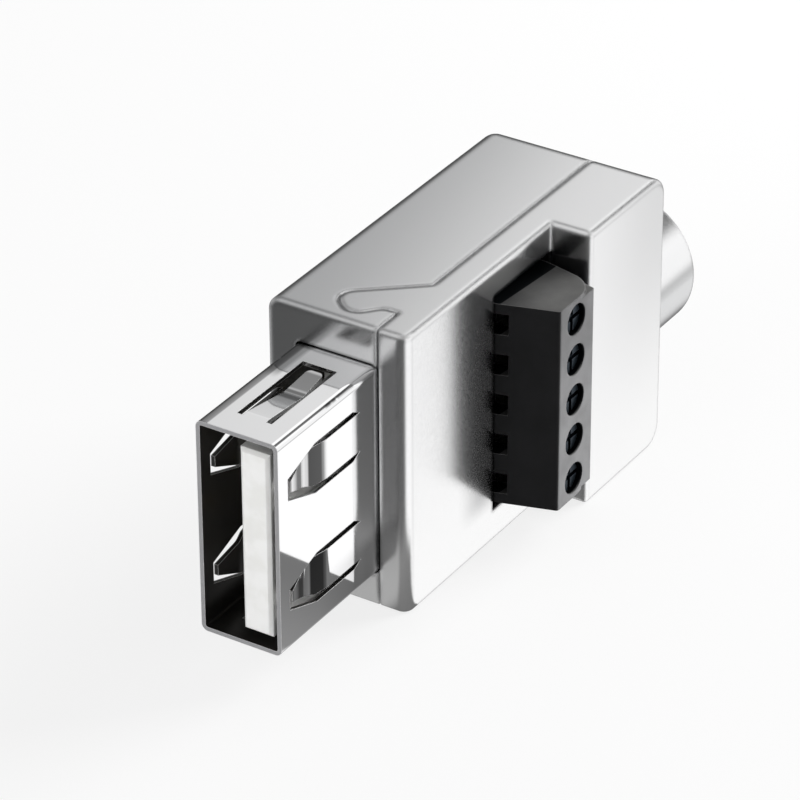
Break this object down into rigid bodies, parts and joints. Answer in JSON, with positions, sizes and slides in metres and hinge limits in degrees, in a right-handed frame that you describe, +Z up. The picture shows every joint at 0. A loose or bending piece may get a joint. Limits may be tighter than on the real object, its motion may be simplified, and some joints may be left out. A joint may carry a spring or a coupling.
{
  "type": "usb terminal block adapter",
  "caption": "Upright USB-A socket in a split cast-metal housing with a screw terminal block in a side window and a round cable outlet.",
  "frame": {"origin": "on the housing's bottom face, in the socket's centre plane, at the middle of the housing's length", "axes": "+Y along the housing towards the cable outlet, +X towards the terminals, +Z up; the socket's mouth looks along -Y"},
  "size_m": [0.0124, 0.0374, 0.0175],
  "materials": {
    "cast_shell": "satin bead-blasted casting",
    "socket_steel": "bright nickel plated, mirror smooth",
    "white_plastic": "satin moulded",
    "gold_contact": "gold flashed",
    "tinned_brass": "bright tin plated",
    "screw_steel": "dark zinc plated",
    "board": "solder mask over glass laminate",
    "black_plastic": "semi-gloss moulded"
  },
  "bodies": {
    "adapter": {"shell_base": "cast_shell", "shell_cover": "cast_shell", "cable_collar": "cast_shell", "usb_shell": "socket_steel", "usb_insulator": "white_plastic", "circuit_board": "board", "terminal_housing": "black_plastic", "usb_contact_1": "gold_contact", "usb_contact_2": "gold_contact", "usb_contact_3": "gold_contact", "usb_contact_4": "gold_contact", "terminal_pin_1": "tinned_brass", "terminal_pin_2": "tinned_brass", "terminal_pin_3": "tinned_brass", "terminal_pin_4": "tinned_brass", "terminal_pin_5": "tinned_brass"},
    "screw_1": {"terminal_screw_1": "screw_steel"},
    "screw_2": {"terminal_screw_2": "screw_steel"},
    "screw_3": {"terminal_screw_3": "screw_steel"},
    "screw_4": {"terminal_screw_4": "screw_steel"},
    "screw_5": {"terminal_screw_5": "screw_steel"},
    "cage_1": {"terminal_cage_1": "tinned_brass"},
    "cage_2": {"terminal_cage_2": "tinned_brass"},
    "cage_3": {"terminal_cage_3": "tinned_brass"},
    "cage_4": {"terminal_cage_4": "tinned_brass"},
    "cage_5": {"terminal_cage_5": "tinned_brass"}
  },
  "joints": [
    {"name": "cage_1_rise", "type": "slide", "parent": "adapter", "child": "cage_1", "axis": [1, 0, 0], "range_m": [0, 0.0009]},
    {"name": "cage_2_rise", "type": "slide", "parent": "adapter", "child": "cage_2", "axis": [1, 0, 0], "range_m": [0, 0.0009]},
    {"name": "cage_3_rise", "type": "slide", "parent": "adapter", "child": "cage_3", "axis": [1, 0, 0], "range_m": [0, 0.0009]},
    {"name": "cage_4_rise", "type": "slide", "parent": "adapter", "child": "cage_4", "axis": [1, 0, 0], "range_m": [0, 0.0009]},
    {"name": "cage_5_rise", "type": "slide", "parent": "adapter", "child": "cage_5", "axis": [1, 0, 0], "range_m": [0, 0.0009]},
    {"name": "screw_1_turn", "type": "hinge", "parent": "adapter", "child": "screw_1", "pos_m": [0.0072, 0.0001, 0.00382], "axis": [1, 0, 0], "range_deg": [-1080, 0]},
    {"name": "screw_2_turn", "type": "hinge", "parent": "adapter", "child": "screw_2", "pos_m": [0.0072, 0.0001, 0.00636], "axis": [1, 0, 0], "range_deg": [-1080, 0]},
    {"name": "screw_3_turn", "type": "hinge", "parent": "adapter", "child": "screw_3", "pos_m": [0.0072, 0.0001, 0.0089], "axis": [1, 0, 0], "range_deg": [-1080, 0]},
    {"name": "screw_4_turn", "type": "hinge", "parent": "adapter", "child": "screw_4", "pos_m": [0.0072, 0.0001, 0.01144], "axis": [1, 0, 0], "range_deg": [-1080, 0]},
    {"name": "screw_5_turn", "type": "hinge", "parent": "adapter", "child": "screw_5", "pos_m": [0.0072, 0.0001, 0.01398], "axis": [1, 0, 0], "range_deg": [-1080, 0]}
  ],
  "couplings": [
    {"joint": "screw_1_turn", "follows": "cage_1_rise", "rad_per_m": -20944},
    {"joint": "screw_2_turn", "follows": "cage_2_rise", "rad_per_m": -20944},
    {"joint": "screw_3_turn", "follows": "cage_3_rise", "rad_per_m": -20944},
    {"joint": "screw_4_turn", "follows": "cage_4_rise", "rad_per_m": -20944},
    {"joint": "screw_5_turn", "follows": "cage_5_rise", "rad_per_m": -20944}
  ]
}
